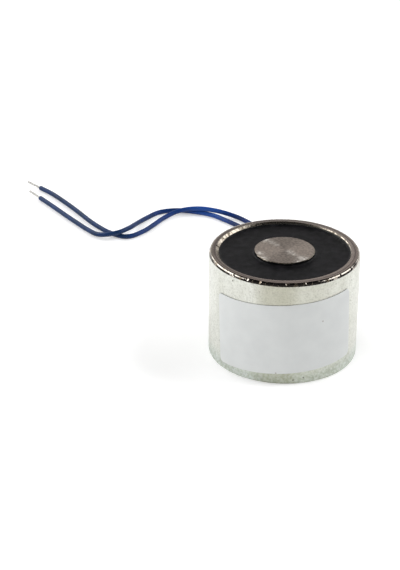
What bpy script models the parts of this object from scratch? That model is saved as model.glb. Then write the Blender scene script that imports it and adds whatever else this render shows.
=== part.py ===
"""A round pot-type holding electromagnet, 30 mm across and 22 mm high, with two flying leads.

A nickel-plated steel cup holds a coil on a bobbin round a steel pole core. Dark casting resin
closes the open end. The leads leave through the wall near the base. The origin is at the centre
of the mounting face, +Z points to the pole face, and the label faces -Y.
"""

from math import ceil, cos, pi, radians, sin, tan

import bmesh
import bpy
from mathutils import Matrix, Vector

MM = 0.001

# Body: the turned steel cup
BODY_DIAMETER = 30.0 * MM
BODY_HEIGHT = 22.0 * MM
WALL = 1.9 * MM
BASE_THICKNESS = 3.0 * MM
RIM_ROUNDING = 0.6 * MM
RIM_INNER_CHAMFER = 0.4 * MM
BACK_CHAMFER = 0.4 * MM
FLOOR_FILLET = 0.25 * MM

# Pole core: shouldered, with a spigot swaged into the base and a tapped hole for mounting
CORE_DIAMETER = 12.0 * MM
CORE_CHAMFER = 0.12 * MM
SPIGOT_DIAMETER = 8.0 * MM
SPIGOT_RECESS = 0.1 * MM
SWAGE_DEPTH = 0.6 * MM
TAP_DRILL_DIAMETER = 3.3 * MM
THREAD_DIAMETER = 4.0 * MM
TAPPED_DEPTH = 7.0 * MM
DRILL_POINT_ANGLE = radians(118)

# Clearances: turned fits, stacked faces and the gap round what lies loose in the pot
FIT = 0.05 * MM
STACK_GAP = 0.02 * MM
LOOSE_FIT = 0.1 * MM

# Bobbin, winding and insulation
INSULATOR_THICKNESS = 0.25 * MM
BOBBIN_TUBE_WALL = 0.7 * MM
BOBBIN_FLANGE = 0.8 * MM
BOBBIN_LOWER_MARGIN = 0.15 * MM
BOBBIN_UPPER_MARGIN = 0.85 * MM
LEAD_CHAMBER_HEIGHT = 3.15 * MM
TAPE_THICKNESS = 0.24 * MM
TAPE_MARGIN = 0.3 * MM
FLANGE_SLOT_WIDTH = 1.0 * MM
START_SLOT_ANGLE = radians(-10)
FINISH_NOTCH_ANGLE = radians(190)
FINISH_NOTCH_DEPTH = 2.6 * MM

# Casting resin: its level below the rim, its thickness over and round the coil, and its creep up the walls
RESIN_RECESS = 0.7 * MM
RESIN_COVER = 2.33 * MM
RESIN_SKIRT = 1.76 * MM
RESIN_MENISCUS = 0.2 * MM
MENISCUS_WIDTH = 0.55 * MM
MENISCUS_STEPS = 3

# Label: a thin film wrapped round the front. Its middle has a height and a turn from the front, and
# it was stuck on by hand a little askew.
LABEL_WIDTH = 30.0 * MM
LABEL_HEIGHT = 15.0 * MM
LABEL_LEVEL = 9.93 * MM
LABEL_TURN = radians(2)
LABEL_TILT = radians(3.3)
LABEL_CORNER_RADIUS = 1.0 * MM
LABEL_THICKNESS = 0.1 * MM

# Leads: insulated stranded wire, joined inside the pot to the ends of the winding
LEAD_DIAMETER = 1.1 * MM
LEAD_PITCH = 1.2 * MM
CONDUCTOR_DIAMETER = 0.5 * MM
EXIT_SLEEVE_WALL = 0.32 * MM
EXIT_SLEEVE_PROUD = 0.8 * MM
EXIT_SLEEVE_INSET = 0.25 * MM
TINNED_LENGTH = 5.0 * MM
LEAD_END_IN_SLEEVE = 1.5 * MM
SPLICE_LENGTH = 6.0 * MM
SPLICE_WALL = 0.33 * MM
SPLICE_OVERLAP = 1.5 * MM
SPLICE_ANGLE = radians(47)
SPLICE_HEADING = radians(-53)
SOLDER_LENGTH = 2.6 * MM
SOLDER_DIAMETER = 0.9 * MM
TAIL_DIAMETER = 0.3 * MM
TAIL_SWING_START = 2.2 * MM
TAIL_SWING_FINISH = 0.6 * MM

# Way of each lead from its splice to the exit sleeve: polar angle, and how far outside the chamber's middle
LEAD_IN_CHAMBER = [(61, 0.6 * MM), (74, 0.8 * MM), (83.5, 1.4 * MM)]

# Coil of spare lead behind the body: two turns of the pair, held by a tie
COIL_TURN_RADIUS = 6.1 * MM
COIL_DISTANCE = 17.0 * MM
COIL_LAYERS = 2
COIL_LIFT = 0.3 * MM
TIE_THICKNESS = 0.25 * MM
TIE_WIDTH = 3.0 * MM
TIE_SLACK = 0.25 * MM

# Fineness of the round pieces
BODY_SEGMENTS = 96
CORE_SEGMENTS = 64
COIL_SEGMENTS = 48
SLEEVE_SEGMENTS = 24
JOINT_SEGMENTS = 16
ARC_STEPS = 4
LABEL_COLUMNS = 56
LABEL_CORNER_COLUMNS = 5
CURVE_STEPS = 12

# Radii and levels worked out from the sizes above
BODY_RADIUS = BODY_DIAMETER / 2
BORE_RADIUS = BODY_RADIUS - WALL
CORE_RADIUS = CORE_DIAMETER / 2
SPIGOT_RADIUS = SPIGOT_DIAMETER / 2
LEAD_RADIUS = LEAD_DIAMETER / 2
INSULATOR_TOP = BASE_THICKNESS + STACK_GAP + INSULATOR_THICKNESS
BOBBIN_FOOT = INSULATOR_TOP + STACK_GAP
BOBBIN_BORE_RADIUS = CORE_RADIUS + FIT
BOBBIN_TUBE_RADIUS = BOBBIN_BORE_RADIUS + BOBBIN_TUBE_WALL
LOWER_FLANGE_BASE = BOBBIN_FOOT + LEAD_CHAMBER_HEIGHT
LOWER_FLANGE_TOP = LOWER_FLANGE_BASE + BOBBIN_FLANGE
WINDING_FOOT = LOWER_FLANGE_TOP + STACK_GAP
RESIN_LEVEL = BODY_HEIGHT - RESIN_RECESS
RESIN_FOOT = RESIN_LEVEL - RESIN_COVER
TOP_WASHER_TOP = RESIN_FOOT - STACK_GAP
TOP_WASHER_FOOT = TOP_WASHER_TOP - INSULATOR_THICKNESS
UPPER_FLANGE_TOP = TOP_WASHER_FOOT - STACK_GAP
UPPER_FLANGE_BASE = UPPER_FLANGE_TOP - BOBBIN_FLANGE
WINDING_TOP = UPPER_FLANGE_BASE - STACK_GAP
LOWER_FLANGE_RADIUS = BORE_RADIUS - BOBBIN_LOWER_MARGIN
UPPER_FLANGE_RADIUS = BORE_RADIUS - BOBBIN_UPPER_MARGIN
RESIN_SKIRT_RADIUS = BORE_RADIUS - FIT - RESIN_SKIRT
TAPE_OUTER_RADIUS = RESIN_SKIRT_RADIUS - FIT
TAPE_INNER_RADIUS = TAPE_OUTER_RADIUS - TAPE_THICKNESS
WINDING_OUTER_RADIUS = TAPE_INNER_RADIUS - FIT
WINDING_INNER_RADIUS = BOBBIN_TUBE_RADIUS + FIT

# The leads lie at mid height of the chamber under the bobbin
LEAD_LEVEL = (INSULATOR_TOP + LOWER_FLANGE_BASE) / 2
CHAMBER_MIDDLE = (BOBBIN_TUBE_RADIUS + BORE_RADIUS) / 2
EXIT_SLEEVE_BORE = LEAD_PITCH / 2 + LEAD_RADIUS + LOOSE_FIT
EXIT_SLEEVE_RADIUS = EXIT_SLEEVE_BORE + EXIT_SLEEVE_WALL
EXIT_HOLE_RADIUS = EXIT_SLEEVE_RADIUS + FIT
SLEEVE_INNER_END = BORE_RADIUS - EXIT_SLEEVE_INSET
SLEEVE_OUTER_END = BODY_RADIUS + EXIT_SLEEVE_PROUD
INNER_LEAD_END = SLEEVE_INNER_END + LEAD_END_IN_SLEEVE
SPLICE_BORE = LEAD_RADIUS + FIT
SPLICE_RADIUS = SPLICE_BORE + SPLICE_WALL

# The coil's turns leave room for both leads beside each other
COIL_CENTRE = Vector((-COIL_TURN_RADIUS, BODY_RADIUS + COIL_DISTANCE, 0))
COIL_HALF_WIDTH = LEAD_PITCH / 2 + LEAD_RADIUS
COIL_HEIGHT = COIL_LAYERS * LEAD_PITCH - (LEAD_PITCH - LEAD_DIAMETER)

# Route of each lead from its sleeve down to the coil, in mm: distance behind the body, and height
LEAD_A_TO_COIL = [(2.4, 4.5), (4.6, 3.0), (6.6, 1.5), (8.6, 0.7), (10.6, 0.55), (12.6, 0.55)]
LEAD_B_TO_COIL = [(2.3, 4.5), (4.3, 3.0), (6.2, 1.5), (8.0, 0.7), (9.6, 0.55), (11.2, 0.55)]

# Route of each lead from the coil to its free end, in mm: across, distance behind the body, height
LEAD_A_TO_END = [
    (-1.1, 23.3, 2.75), (-2.3, 27.2, 1.80), (-3.4, 31.2, 0.85), (-4.7, 35.6, 0.55), (-6.4, 40.0, 0.55),
    (-8.9, 43.6, 0.55), (-12.3, 46.3, 0.81), (-16.6, 47.3, 1.56), (-21.0, 47.9, 1.71), (-25.4, 47.5, 1.11),
    (-28.7, 44.6, 0.56), (-30.8, 40.6, 0.55), (-33.1, 36.7, 0.55), (-36.4, 33.9, 0.55), (-40.4, 35.6, 0.55),
    (-43.6, 38.8, 0.55), (-46.4, 42.4, 0.55), (-48.9, 46.1, 0.55), (-51.5, 49.8, 0.55), (-54.2, 53.4, 0.55),
    (-57.0, 56.9, 0.55), (-60.2, 60.1, 0.55),
]
LEAD_B_TO_END = [
    (-2.9, 24.6, 2.75), (-4.1, 28.3, 1.80), (-5.2, 31.8, 0.85), (-6.5, 35.3, 0.55), (-8.4, 38.5, 0.55),
    (-10.9, 41.2, 0.55), (-14.1, 44.2, 0.55), (-17.5, 47.0, 0.55), (-21.6, 48.5, 0.55), (-25.9, 49.1, 0.55),
    (-29.9, 47.8, 0.55), (-32.7, 44.4, 0.55), (-34.7, 40.6, 0.84), (-36.2, 36.5, 1.50), (-38.9, 33.3, 1.66),
    (-42.8, 33.9, 0.85), (-45.9, 37.0, 0.55), (-48.7, 40.4, 0.55), (-51.4, 43.8, 0.55), (-54.0, 47.2, 0.55),
    (-56.7, 50.7, 0.55), (-59.4, 54.1, 0.55),
]


def clear_scene():
    for obj in list(bpy.data.objects):
        bpy.data.objects.remove(obj, do_unlink=True)


def new_collection(name):
    collection = bpy.data.collections.new(name)
    bpy.context.scene.collection.children.link(collection)
    return collection


def principled(name, colour, roughness, metallic=0.0):
    material = bpy.data.materials.new(name)
    material.use_nodes = True
    shader = material.node_tree.nodes["Principled BSDF"]
    shader.inputs["Base Color"].default_value = (*colour, 1.0)
    shader.inputs["Roughness"].default_value = roughness
    shader.inputs["Metallic"].default_value = metallic
    return material


def place(mesh, name, material, collection):
    obj = bpy.data.objects.new(name, mesh)
    obj.data.materials.append(material)
    collection.objects.link(obj)
    return obj


def arc(centre, radius, start, end, steps=ARC_STEPS):
    """Points of a round stretch of an outline, as (radius, height) pairs."""
    angles = [start + (end - start) * i / steps for i in range(steps + 1)]
    return [(centre[0] + radius * cos(a), centre[1] + radius * sin(a)) for a in angles]


def turned(name, outline, material, collection, segments=BODY_SEGMENTS, closed=True):
    """A turned piece: the outline runs down its outer side, and back up nearer the axis."""
    mesh = bpy.data.meshes.new(name)
    edges = [(i, i + 1) for i in range(len(outline) - 1)]
    if closed:
        edges.append((len(outline) - 1, 0))
    mesh.from_pydata([(r, 0.0, z) for r, z in outline], edges, [])
    obj = place(mesh, name, material, collection)
    screw = obj.modifiers.new("Turn", "SCREW")
    screw.angle = 2 * pi
    screw.steps = segments
    screw.render_steps = segments
    screw.use_merge_vertices = not closed
    screw.merge_threshold = 0.000001
    screw.use_smooth_shade = True
    return obj


def ring(inner, outer, foot, top):
    """The outline of a plain ring."""
    return [(outer, top), (outer, foot), (inner, foot), (inner, top)]


def cylinder_cutter(name, radius, start, end, collection):
    """A round cutter from one point to another."""
    mesh = bpy.data.meshes.new(name)
    bm = bmesh.new()
    length = (end - start).length
    bmesh.ops.create_cone(
        bm, cap_ends=True, segments=COIL_SEGMENTS, radius1=radius, radius2=radius, depth=length
    )
    bm.to_mesh(mesh)
    bm.free()
    return cutter_object(name, mesh, aimed(start, end, (start + end) / 2), collection)


def box_cutter(name, size, matrix, collection):
    mesh = bpy.data.meshes.new(name)
    bm = bmesh.new()
    bmesh.ops.create_cube(bm, size=1.0, matrix=Matrix.Diagonal((*size, 1.0)))
    bm.to_mesh(mesh)
    bm.free()
    return cutter_object(name, mesh, matrix, collection)


def cutter_object(name, mesh, matrix, collection):
    obj = bpy.data.objects.new(name, mesh)
    collection.objects.link(obj)
    obj.matrix_world = matrix
    obj.hide_render = True
    obj.display_type = "WIRE"
    return obj


def aimed(start, end, origin):
    """A matrix whose Z axis points from start to end, placed at origin."""
    turn = (end - start).to_track_quat("Z", "Y").to_matrix().to_4x4()
    return Matrix.Translation(origin) @ turn


def cut(obj, cutter):
    boolean = obj.modifiers.new(cutter.name, "BOOLEAN")
    boolean.operation = "DIFFERENCE"
    boolean.solver = "EXACT"
    boolean.object = cutter


def smooth_line(points, spacing):
    """Even points on a Catmull-Rom curve through the points given."""
    first = points[0] * 2 - points[1]
    last = points[-1] * 2 - points[-2]
    guides = [first, *points, last]
    fine = []
    for a, b, c, d in zip(guides, guides[1:], guides[2:], guides[3:]):
        for i in range(CURVE_STEPS):
            t = i / CURVE_STEPS
            bend = (a * 2 - b * 5 + c * 4 - d) * t * t + (b * 3 - a - c * 3 + d) * t * t * t
            fine.append((b * 2 + (c - a) * t + bend) / 2)
    fine.append(points[-1])
    reach = [0.0]
    for a, b in zip(fine, fine[1:]):
        reach.append(reach[-1] + (b - a).length)
    count = max(2, ceil(reach[-1] / spacing))
    even, j = [], 0
    for i in range(count + 1):
        wanted = reach[-1] * i / count
        while j < len(reach) - 2 and reach[j + 1] < wanted:
            j += 1
        share = (wanted - reach[j]) / (reach[j + 1] - reach[j])
        even.append(fine[j].lerp(fine[j + 1], share))
    return even


def wire(name, points, diameter, material, collection, spacing):
    """A round wire along a smooth route, with flat ends."""
    line = smooth_line(points, spacing)
    curve = bpy.data.curves.new(name, "CURVE")
    curve.dimensions = "3D"
    curve.bevel_depth = diameter / 2
    curve.bevel_resolution = 2
    curve.use_fill_caps = True
    spline = curve.splines.new("POLY")
    spline.points.add(len(line) - 1)
    for slot, point in zip(spline.points, line):
        slot.co = (*point, 1.0)
    return place(curve, name, material, collection)


def shell(material, parts, cutters):
    """The cup: rounded rim, chamfered bore mouth, and a base countersunk for the swaged core."""
    hole = SPIGOT_RADIUS + FIT
    outline = [(BORE_RADIUS + RIM_INNER_CHAMFER, BODY_HEIGHT)]
    rounding_centre = (BODY_RADIUS - RIM_ROUNDING, BODY_HEIGHT - RIM_ROUNDING)
    outline += arc(rounding_centre, RIM_ROUNDING, pi / 2, 0)
    outline += [(BODY_RADIUS, BACK_CHAMFER), (BODY_RADIUS - BACK_CHAMFER, 0.0)]
    outline += [(hole + SWAGE_DEPTH, 0.0), (hole, SWAGE_DEPTH), (hole, BASE_THICKNESS)]
    fillet_centre = (BORE_RADIUS - FLOOR_FILLET, BASE_THICKNESS + FLOOR_FILLET)
    outline += arc(fillet_centre, FLOOR_FILLET, -pi / 2, 0, 2)
    outline.append((BORE_RADIUS, BODY_HEIGHT - RIM_INNER_CHAMFER))
    obj = turned("shell", outline, material, parts)
    start = Vector((0, BORE_RADIUS - WALL, LEAD_LEVEL))
    end = Vector((0, BODY_RADIUS + WALL, LEAD_LEVEL))
    cut(obj, cylinder_cutter("lead_exit_hole", EXIT_HOLE_RADIUS, start, end, cutters))
    return obj


def pole_core(material, parts):
    """The core stands on the base at its shoulder, and its spigot is swaged into the countersink."""
    shoulder = BASE_THICKNESS + STACK_GAP
    swage_start = SWAGE_DEPTH - FIT / 2
    swage_radius = SPIGOT_RADIUS + swage_start - SPIGOT_RECESS
    tap_radius = TAP_DRILL_DIAMETER / 2
    mouth_radius = THREAD_DIAMETER / 2 + FIT
    mouth_depth = mouth_radius - tap_radius
    point_height = tap_radius / tan(DRILL_POINT_ANGLE / 2)
    outline = [
        (0.0, BODY_HEIGHT),
        (CORE_RADIUS - CORE_CHAMFER, BODY_HEIGHT),
        (CORE_RADIUS, BODY_HEIGHT - CORE_CHAMFER),
        (CORE_RADIUS, shoulder),
        (SPIGOT_RADIUS, shoulder),
        (SPIGOT_RADIUS, swage_start),
        (swage_radius, SPIGOT_RECESS),
        (mouth_radius, SPIGOT_RECESS),
        (tap_radius, SPIGOT_RECESS + mouth_depth),
        (tap_radius, TAPPED_DEPTH),
        (0.0, TAPPED_DEPTH + point_height),
    ]
    return turned("pole_core", outline, material, parts, CORE_SEGMENTS, closed=False)


def bobbin(material, parts, cutters):
    """A moulded spool whose tube runs on below the lower flange, as a collar standing on the base."""
    outline = [
        (UPPER_FLANGE_RADIUS, UPPER_FLANGE_TOP),
        (UPPER_FLANGE_RADIUS, UPPER_FLANGE_BASE),
        (BOBBIN_TUBE_RADIUS, UPPER_FLANGE_BASE),
        (BOBBIN_TUBE_RADIUS, LOWER_FLANGE_TOP),
        (LOWER_FLANGE_RADIUS, LOWER_FLANGE_TOP),
        (LOWER_FLANGE_RADIUS, LOWER_FLANGE_BASE),
        (BOBBIN_TUBE_RADIUS, LOWER_FLANGE_BASE),
        (BOBBIN_TUBE_RADIUS, BOBBIN_FOOT),
        (BOBBIN_BORE_RADIUS, BOBBIN_FOOT),
        (BOBBIN_BORE_RADIUS, UPPER_FLANGE_TOP),
    ]
    obj = turned("bobbin", outline, material, parts, CORE_SEGMENTS)
    flange_middle = (LOWER_FLANGE_BASE + LOWER_FLANGE_TOP) / 2
    start_slot_inner = WINDING_INNER_RADIUS + FIT
    notch_inner = LOWER_FLANGE_RADIUS - FINISH_NOTCH_DEPTH
    for name, angle, inner in (
        ("start_slot", START_SLOT_ANGLE, start_slot_inner),
        ("finish_notch", FINISH_NOTCH_ANGLE, notch_inner),
    ):
        length = BODY_RADIUS - inner
        size = (length, FLANGE_SLOT_WIDTH, BOBBIN_FLANGE * 2)
        middle = Vector((inner + length / 2, 0, flange_middle))
        matrix = Matrix.Rotation(angle, 4, "Z") @ Matrix.Translation(middle)
        cut(obj, box_cutter(name, size, matrix, cutters))
    return obj


def winding(copper, tape, parts):
    """The enamelled copper wire as one wound body, with a turn of tape round it."""
    outline = ring(WINDING_INNER_RADIUS, WINDING_OUTER_RADIUS, WINDING_FOOT, WINDING_TOP)
    turned("winding", outline, copper, parts, CORE_SEGMENTS)
    tape_foot = WINDING_FOOT + TAPE_MARGIN
    tape_top = WINDING_TOP - TAPE_MARGIN
    outline = ring(TAPE_INNER_RADIUS, TAPE_OUTER_RADIUS, tape_foot, tape_top)
    turned("winding_tape", outline, tape, parts, CORE_SEGMENTS)


def insulating_washers(material, parts):
    """Pressboard rings: one on the cup's floor under the leads, one over the upper flange."""
    floor_radius = BORE_RADIUS - FLOOR_FILLET - FIT
    floor_ring = ring(BOBBIN_BORE_RADIUS, floor_radius, BASE_THICKNESS + STACK_GAP, INSULATOR_TOP)
    turned("base_insulator", floor_ring, material, parts, CORE_SEGMENTS)
    top_ring = ring(BOBBIN_BORE_RADIUS, UPPER_FLANGE_RADIUS, TOP_WASHER_FOOT, TOP_WASHER_TOP)
    turned("top_insulator", top_ring, material, parts, CORE_SEGMENTS)


def casting_resin(material, parts):
    """Resin over the bobbin, creeping up the walls, and down round the winding to its lower flange."""
    outer = BORE_RADIUS - FIT
    inner = CORE_RADIUS + FIT
    step_radius = UPPER_FLANGE_RADIUS + FIT
    step_level = UPPER_FLANGE_BASE - FIT
    crest = RESIN_LEVEL + RESIN_MENISCUS
    shares = [i / MENISCUS_STEPS for i in range(1, MENISCUS_STEPS + 1)]
    creep = [(MENISCUS_WIDTH * t, RESIN_LEVEL + RESIN_MENISCUS * (1 - t) ** 2) for t in shares]
    outline = [
        *[(inner + away, level) for away, level in creep],
        *[(outer - away, level) for away, level in reversed(creep)],
        (outer, crest),
        (outer, WINDING_FOOT),
        (RESIN_SKIRT_RADIUS, WINDING_FOOT),
        (RESIN_SKIRT_RADIUS, step_level),
        (step_radius, step_level),
        (step_radius, RESIN_FOOT),
        (inner, RESIN_FOOT),
        (inner, crest),
    ]
    turned("casting_resin", outline, material, parts)


def label(material, parts):
    """A rounded rectangle of film, laid out flat as a grid, tilted, and wrapped round the cup."""
    radius = BODY_RADIUS + STACK_GAP
    half_width = LABEL_WIDTH / 2
    mesh = bpy.data.meshes.new("label")
    bm = bmesh.new()
    bmesh.ops.create_grid(bm, x_segments=LABEL_COLUMNS, y_segments=1, size=0.5)
    for vertex in bm.verts:
        column = round((vertex.co.x + 0.5) * LABEL_COLUMNS)
        from_edge = min(column, LABEL_COLUMNS - column)
        if from_edge < LABEL_CORNER_COLUMNS:
            side = -1 if column < LABEL_COLUMNS / 2 else 1
            turn = pi / 2 * from_edge / LABEL_CORNER_COLUMNS
            along = side * (half_width - LABEL_CORNER_RADIUS * (1 - cos(turn)))
            drop = LABEL_CORNER_RADIUS * (1 - sin(turn))
        else:
            straight = (column - LABEL_CORNER_COLUMNS) / (LABEL_COLUMNS - 2 * LABEL_CORNER_COLUMNS)
            along = (half_width - LABEL_CORNER_RADIUS) * (2 * straight - 1)
            drop = 0.0
        up = LABEL_HEIGHT / 2 - drop
        if vertex.co.y < 0:
            up = -up
        angle = LABEL_TURN + (along * cos(LABEL_TILT) - up * sin(LABEL_TILT)) / radius
        level = LABEL_LEVEL + along * sin(LABEL_TILT) + up * cos(LABEL_TILT)
        vertex.co = (radius * sin(angle), -radius * cos(angle), level)
    bm.to_mesh(mesh)
    bm.free()
    obj = place(mesh, "label", material, parts)
    solidify = obj.modifiers.new("Film", "SOLIDIFY")
    solidify.thickness = LABEL_THICKNESS
    solidify.offset = 1.0
    return obj


def exit_sleeve(material, parts):
    """The insulating sleeve that carries both leads through the wall."""
    inner_end = Vector((0, SLEEVE_INNER_END, LEAD_LEVEL))
    outer_end = Vector((0, SLEEVE_OUTER_END, LEAD_LEVEL))
    length = SLEEVE_OUTER_END - SLEEVE_INNER_END
    outline = ring(EXIT_SLEEVE_BORE, EXIT_SLEEVE_RADIUS, 0.0, length)
    obj = turned("exit_sleeve", outline, material, parts, COIL_SEGMENTS)
    obj.matrix_world = aimed(inner_end, outer_end, inner_end)
    return obj


def splice(letter, side, sleeve, solder, parts):
    """A soldered joint in its shrink sleeve, lying in the chamber on the side given."""
    start = CHAMBER_MIDDLE * Vector((side * cos(SPLICE_ANGLE), sin(SPLICE_ANGLE), 0.0))
    start.z = LEAD_LEVEL
    direction = Vector((side * cos(SPLICE_HEADING), sin(SPLICE_HEADING), 0.0))
    end = start + direction * SPLICE_LENGTH
    outline = ring(SPLICE_BORE, SPLICE_RADIUS, 0.0, SPLICE_LENGTH)
    tube = turned(f"splice_sleeve_{letter}", outline, sleeve, parts, SLEEVE_SEGMENTS)
    tube.matrix_world = aimed(start, end, start)
    foot = SPLICE_OVERLAP + STACK_GAP
    top = foot + SOLDER_LENGTH
    blob = [
        (0.0, top),
        (TAIL_DIAMETER / 2, top),
        (SOLDER_DIAMETER / 2, top - SOLDER_LENGTH / 3),
        (SOLDER_DIAMETER / 2, foot + SOLDER_LENGTH / 3),
        (CONDUCTOR_DIAMETER / 2, foot),
        (0.0, foot),
    ]
    joint = turned(f"solder_joint_{letter}", blob, solder, parts, JOINT_SEGMENTS, closed=False)
    joint.matrix_world = aimed(start, end, start)
    return start, direction


def inner_lead(letter, side, splice_start, direction, material, parts):
    """The stretch of a lead from its splice, round the chamber and into the exit sleeve."""
    x = side * LEAD_PITCH / 2
    points = [splice_start + direction * SPLICE_OVERLAP, splice_start]
    for degrees, outside in LEAD_IN_CHAMBER:
        orbit = CHAMBER_MIDDLE + outside
        angle = radians(degrees)
        points.append(Vector((side * orbit * cos(angle), orbit * sin(angle), LEAD_LEVEL)))
    for y in (SLEEVE_INNER_END - LOOSE_FIT, SLEEVE_INNER_END + LEAD_RADIUS, INNER_LEAD_END):
        points.append(Vector((x, y, LEAD_LEVEL)))
    wire(f"lead_{letter}_inner", points, LEAD_DIAMETER, material, parts, LEAD_DIAMETER * 1.5)


def winding_tail(name, splice_start, direction, angle, reach, swing, material, parts):
    """An end of the winding's own wire, from its joint up through the flange to the winding."""
    joint_end = SPLICE_OVERLAP + 2 * STACK_GAP + SOLDER_LENGTH
    across = Vector((cos(angle), sin(angle), 0.0))
    rise = Vector((0.0, 0.0, 1.0))
    route = [
        splice_start + direction * joint_end,
        splice_start + direction * (SPLICE_LENGTH + 3 * TAIL_DIAMETER),
        across * (reach + swing) + rise * (LEAD_LEVEL + 1.5 * TAIL_DIAMETER),
        across * reach + rise * (LOWER_FLANGE_BASE - TAIL_DIAMETER),
        across * reach + rise * (LOWER_FLANGE_TOP - STACK_GAP),
    ]
    wire(name, route, TAIL_DIAMETER, material, parts, TAIL_DIAMETER * 3)


def coil_of_leads(lead, tie, parts, cutters):
    """The spare length of both leads wound together, as the ring that the turns fill, and its tie."""
    inner = COIL_TURN_RADIUS - COIL_HALF_WIDTH
    outer = COIL_TURN_RADIUS + COIL_HALF_WIDTH
    top = COIL_LIFT + COIL_HEIGHT
    rounding = LEAD_RADIUS
    outline = arc((outer - rounding, top - rounding), rounding, pi / 2, 0, 3)
    outline += arc((outer - rounding, COIL_LIFT + rounding), rounding, 0, -pi / 2, 3)
    outline += arc((inner + rounding, COIL_LIFT + rounding), rounding, -pi / 2, -pi, 3)
    outline += arc((inner + rounding, top - rounding), rounding, pi, pi / 2, 3)
    coil = turned("lead_coil", outline, lead, parts, COIL_SEGMENTS)
    coil.location = COIL_CENTRE
    width = 2 * COIL_HALF_WIDTH + 2 * TIE_SLACK
    height = COIL_LIFT - TIE_THICKNESS + COIL_HEIGHT + FIT
    middle = COIL_CENTRE + Vector((-COIL_TURN_RADIUS, 0, TIE_THICKNESS + height / 2))
    mesh = bpy.data.meshes.new("lead_tie")
    bm = bmesh.new()
    outer_size = (width + 2 * TIE_THICKNESS, TIE_WIDTH, height + 2 * TIE_THICKNESS)
    bmesh.ops.create_cube(bm, size=1.0, matrix=Matrix.Diagonal((*outer_size, 1.0)))
    bm.to_mesh(mesh)
    bm.free()
    band = place(mesh, "lead_tie", tie, parts)
    band.location = middle
    opening = (width, TIE_WIDTH * 2, height)
    cut(band, box_cutter("tie_opening", opening, Matrix.Translation(middle), cutters))


def run_to_coil(letter, side, route, material, parts):
    """A lead comes straight out of its sleeve, bends down and lies on the surface."""
    x = side * LEAD_PITCH / 2
    points = [
        Vector((x, INNER_LEAD_END + STACK_GAP, LEAD_LEVEL)),
        Vector((x, SLEEVE_OUTER_END - LOOSE_FIT, LEAD_LEVEL)),
    ]
    points += [Vector((x, BODY_RADIUS + behind * MM, level * MM)) for behind, level in route]
    wire(f"lead_{letter}_to_coil", points, LEAD_DIAMETER, material, parts, LEAD_DIAMETER * 2)


def run_to_end(letter, route, lead, tin, parts):
    """The stretch of a lead that shows, and the stripped and tinned strands at its free end."""
    points = [Vector((across * MM, BODY_RADIUS + behind * MM, level * MM)) for across, behind, level in route]
    wire(f"lead_{letter}_to_end", points, LEAD_DIAMETER, lead, parts, LEAD_DIAMETER * 3)
    heading = (points[-1] - points[-2]).normalized()
    foot = points[-1] + heading * STACK_GAP
    tip = foot + heading * TINNED_LENGTH
    wire(f"tinned_end_{letter}", [foot, tip], CONDUCTOR_DIAMETER, tin, parts, TINNED_LENGTH / 2)


def build():
    clear_scene()
    parts = new_collection("holding_electromagnet")
    cutters = new_collection("cutters")

    nickel = principled("nickel_plate", (0.68, 0.68, 0.63), 0.35, 1.0)
    bare_steel = principled("bare_steel", (0.42, 0.38, 0.35), 0.35, 1.0)
    resin = principled("casting_resin", (0.018, 0.019, 0.022), 0.45)
    film = principled("label_film", (0.63, 0.66, 0.69), 0.5)
    nylon = principled("bobbin_nylon", (0.75, 0.72, 0.62), 0.5)
    copper = principled("enamelled_copper", (0.55, 0.20, 0.08), 0.35, 1.0)
    tape = principled("polyester_tape", (0.75, 0.55, 0.10), 0.4)
    pressboard = principled("pressboard", (0.45, 0.33, 0.20), 0.8)
    black_sleeve = principled("black_sleeve", (0.02, 0.02, 0.02), 0.5)
    blue_insulation = principled("blue_insulation", (0.015, 0.045, 0.26), 0.35)
    solder = principled("solder", (0.60, 0.60, 0.60), 0.35, 1.0)
    tie_film = principled("tie_film", (0.03, 0.03, 0.03), 0.4)

    shell(nickel, parts, cutters)
    pole_core(bare_steel, parts)
    bobbin(nylon, parts, cutters)
    winding(copper, tape, parts)
    insulating_washers(pressboard, parts)
    casting_resin(resin, parts)
    label(film, parts)
    exit_sleeve(black_sleeve, parts)

    start_reach = WINDING_INNER_RADIUS + FIT + FLANGE_SLOT_WIDTH / 2
    finish_reach = WINDING_OUTER_RADIUS - FLANGE_SLOT_WIDTH / 4
    for letter, side, tail, angle, reach, swing in (
        ("a", 1, "winding_start_tail", START_SLOT_ANGLE, start_reach, TAIL_SWING_START),
        ("b", -1, "winding_finish_tail", FINISH_NOTCH_ANGLE, finish_reach, TAIL_SWING_FINISH),
    ):
        start, direction = splice(letter, side, black_sleeve, solder, parts)
        inner_lead(letter, side, start, direction, blue_insulation, parts)
        winding_tail(tail, start, direction, angle, reach, swing, copper, parts)

    run_to_coil("a", 1, LEAD_A_TO_COIL, blue_insulation, parts)
    run_to_coil("b", -1, LEAD_B_TO_COIL, blue_insulation, parts)
    coil_of_leads(blue_insulation, tie_film, parts, cutters)
    run_to_end("a", LEAD_A_TO_END, blue_insulation, solder, parts)
    run_to_end("b", LEAD_B_TO_END, blue_insulation, solder, parts)


build()
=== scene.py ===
"""The looks of a round holding electromagnet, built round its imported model.

First comes the camera, then the two leads and the tie on their coil, then the body: the cup, the pole
core, the casting resin, the label, the sleeve at the exit and the pieces inside the pot. The floor and
the lamps come last. Lengths are in metres.
"""

from math import cos, pi, radians, sin, tan

import bmesh
import bpy
from mathutils import Matrix, Vector
from mathutils.geometry import interpolate_bezier


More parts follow.
